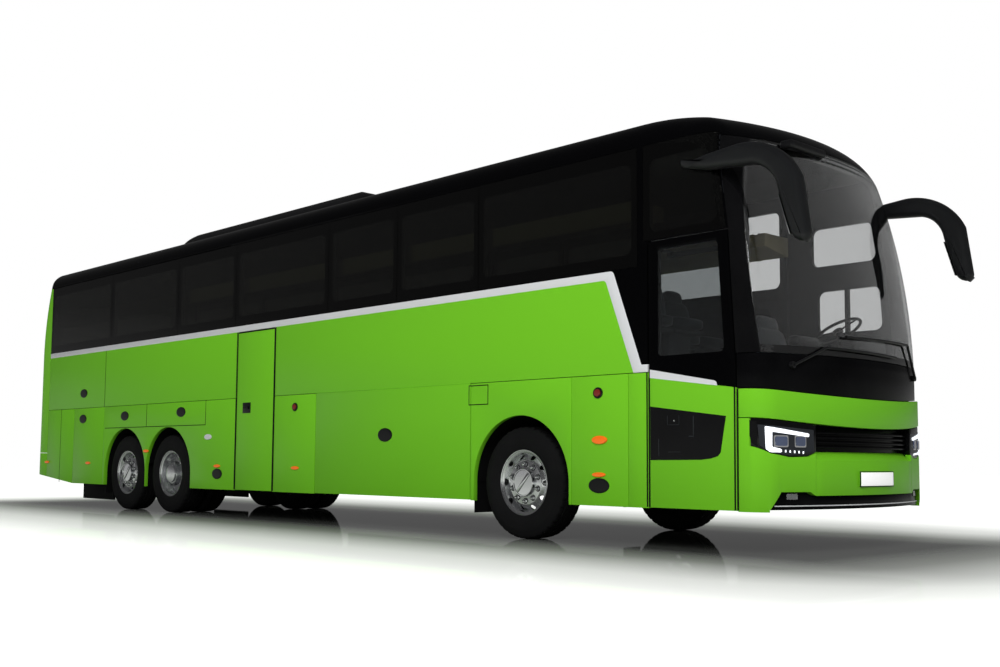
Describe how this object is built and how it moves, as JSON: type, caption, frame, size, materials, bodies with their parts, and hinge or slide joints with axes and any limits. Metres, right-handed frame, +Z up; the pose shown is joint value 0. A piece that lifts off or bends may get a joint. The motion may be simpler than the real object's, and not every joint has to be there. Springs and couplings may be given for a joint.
{
  "type": "coach bus",
  "caption": "Three-axle high-deck coach with plug doors, luggage flaps, roof air-conditioning unit and hanging mirrors.",
  "frame": {"origin": "on the ground under the middle of the whole vehicle box, mirrors included", "axes": "+X to the front, +Y to the left side, +Z up"},
  "size_m": [13.85, 2.8, 3.78],
  "materials": {
    "green_paint": "gloss",
    "black_paint": "gloss",
    "white_paint": "gloss",
    "black_plastic": "satin",
    "grey_plastic": "matt",
    "tinted_glass": "gloss",
    "clear_glass": "gloss",
    "lamp_glass": "gloss",
    "lamp_red": "gloss",
    "frame_steel": "satin",
    "cast_iron": "matt",
    "tyre_rubber": "matt",
    "rim_aluminium": "polished",
    "seat_fabric": "matt",
    "floor_vinyl": "matt",
    "rubber": "matt"
  },
  "bodies": {
    "root": {"ac_unit": "black_paint", "air_springs": "rubber", "dashboard": "grey_plastic", "engine": "cast_iron", "entrance_floors": "floor_vinyl", "floor_deck": "floor_vinyl", "front_axle": "cast_iron", "front_band": "green_paint", "front_bumper": "green_paint", "front_frame": "frame_steel", "front_trim": "black_plastic", "headlamps": "lamp_glass", "luggage_hold": "frame_steel", "luggage_racks": "grey_plastic", "mirrors": "black_plastic", "mudflaps": "rubber", "pillars": "grey_plastic", "rear_axles": "cast_iron", "rear_bumper": "green_paint", "rear_wall": "green_paint", "rear_window": "tinted_glass", "roof_dome": "black_paint", "roof_hatches": "grey_plastic", "roof_panel": "black_paint", "seats": "seat_fabric", "side_panels": "green_paint", "side_walls": "black_paint", "side_windows": "tinted_glass", "skirt_panels": "green_paint", "tail_lamps": "lamp_red", "underframe": "frame_steel", "waist_trim": "white_paint", "wheel_housings": "black_plastic", "windscreen": "clear_glass", "windscreen_frame": "black_paint", "wipers": "black_plastic"},
    "knuckle_right": {"knuckle_right": "cast_iron"},
    "front_wheel_right": {"tyre_front_right": "tyre_rubber", "rim_front_right": "rim_aluminium"},
    "drive_wheels_right": {"tyres_drive_right": "tyre_rubber", "rims_drive_right": "rim_aluminium"},
    "tag_wheel_right": {"tyre_tag_right": "tyre_rubber", "rim_tag_right": "rim_aluminium"},
    "luggage_flap_right": {"luggage_flap_right": "green_paint"},
    "knuckle_left": {"knuckle_left": "cast_iron"},
    "front_wheel_left": {"tyre_front_left": "tyre_rubber", "rim_front_left": "rim_aluminium"},
    "drive_wheels_left": {"tyres_drive_left": "tyre_rubber", "rims_drive_left": "rim_aluminium"},
    "tag_wheel_left": {"tyre_tag_left": "tyre_rubber", "rim_tag_left": "rim_aluminium"},
    "luggage_flap_left": {"luggage_flap_left": "green_paint"},
    "steering_wheel": {"steering_wheel": "black_plastic"},
    "front_door_arm": {"front_door_arm": "frame_steel"},
    "front_door": {"front_door": "black_paint", "front_door_glass": "clear_glass"},
    "middle_door_arm": {"middle_door_arm": "frame_steel"},
    "middle_door": {"middle_door": "green_paint"},
    "engine_lid": {"engine_lid": "green_paint"}
  },
  "joints": [
    {"name": "steer_left", "type": "hinge", "parent": "root", "child": "knuckle_left", "pos_m": [3.875, 0.93, 0.508], "axis": [0, 0, 1], "range_deg": [-38, 38]},
    {"name": "steer_right", "type": "hinge", "parent": "root", "child": "knuckle_right", "pos_m": [3.875, -0.93, 0.508], "axis": [0, 0, 1], "range_deg": [-38, 38]},
    {"name": "steering_wheel_turn", "type": "hinge", "parent": "root", "child": "steering_wheel", "pos_m": [6.01, 0.6, 1.87], "axis": [-0.4695, 0, 0.8829], "range_deg": [-608, 608]},
    {"name": "front_wheel_right_spin", "type": "hinge", "parent": "knuckle_right", "child": "front_wheel_right", "pos_m": [3.875, -1.09, 0.508], "axis": [0, 1, 0], "continuous": true},
    {"name": "drive_wheels_right_spin", "type": "hinge", "parent": "root", "child": "drive_wheels_right", "pos_m": [-2.655, -1.09, 0.508], "axis": [0, 1, 0], "continuous": true},
    {"name": "tag_wheel_right_spin", "type": "hinge", "parent": "root", "child": "tag_wheel_right", "pos_m": [-3.875, -1.09, 0.508], "axis": [0, 1, 0], "continuous": true},
    {"name": "luggage_flap_right_lift", "type": "hinge", "parent": "root", "child": "luggage_flap_right", "pos_m": [1.951, -1.275, 1.4337], "axis": [-1, 0, 0], "range_deg": [0, 88]},
    {"name": "front_wheel_left_spin", "type": "hinge", "parent": "knuckle_left", "child": "front_wheel_left", "pos_m": [3.875, 1.09, 0.508], "axis": [0, 1, 0], "continuous": true},
    {"name": "drive_wheels_left_spin", "type": "hinge", "parent": "root", "child": "drive_wheels_left", "pos_m": [-2.655, 1.09, 0.508], "axis": [0, 1, 0], "continuous": true},
    {"name": "tag_wheel_left_spin", "type": "hinge", "parent": "root", "child": "tag_wheel_left", "pos_m": [-3.875, 1.09, 0.508], "axis": [0, 1, 0], "continuous": true},
    {"name": "luggage_flap_left_lift", "type": "hinge", "parent": "root", "child": "luggage_flap_left", "pos_m": [1.951, 1.275, 1.4337], "axis": [1, 0, 0], "range_deg": [0, 88]},
    {"name": "front_door_arm_swing", "type": "hinge", "parent": "root", "child": "front_door_arm", "pos_m": [6.062, -1.12, 1.4], "axis": [0, 0, 1], "range_deg": [0, 105]},
    {"name": "front_door_swing", "type": "hinge", "parent": "front_door_arm", "child": "front_door", "pos_m": [5.482, -1.12, 1.4], "axis": [0, 0, 1], "range_deg": [-105, 0]},
    {"name": "middle_door_arm_swing", "type": "hinge", "parent": "root", "child": "middle_door_arm", "pos_m": [-0.316, -1.12, 1.2], "axis": [0, 0, 1], "range_deg": [0, 105]},
    {"name": "middle_door_swing", "type": "hinge", "parent": "middle_door_arm", "child": "middle_door", "pos_m": [-0.876, -1.12, 1.2], "axis": [0, 0, 1], "range_deg": [-105, 0]},
    {"name": "engine_lid_lift", "type": "hinge", "parent": "root", "child": "engine_lid", "pos_m": [-6.921, 0, 1.9927], "axis": [0, 1, 0], "range_deg": [0, 85]}
  ],
  "couplings": [
    {"joint": "steer_right", "follows": "steer_left", "ratio": 1},
    {"joint": "steering_wheel_turn", "follows": "steer_left", "ratio": 16},
    {"joint": "front_door_swing", "follows": "front_door_arm_swing", "ratio": -1},
    {"joint": "middle_door_swing", "follows": "middle_door_arm_swing", "ratio": -1}
  ]
}
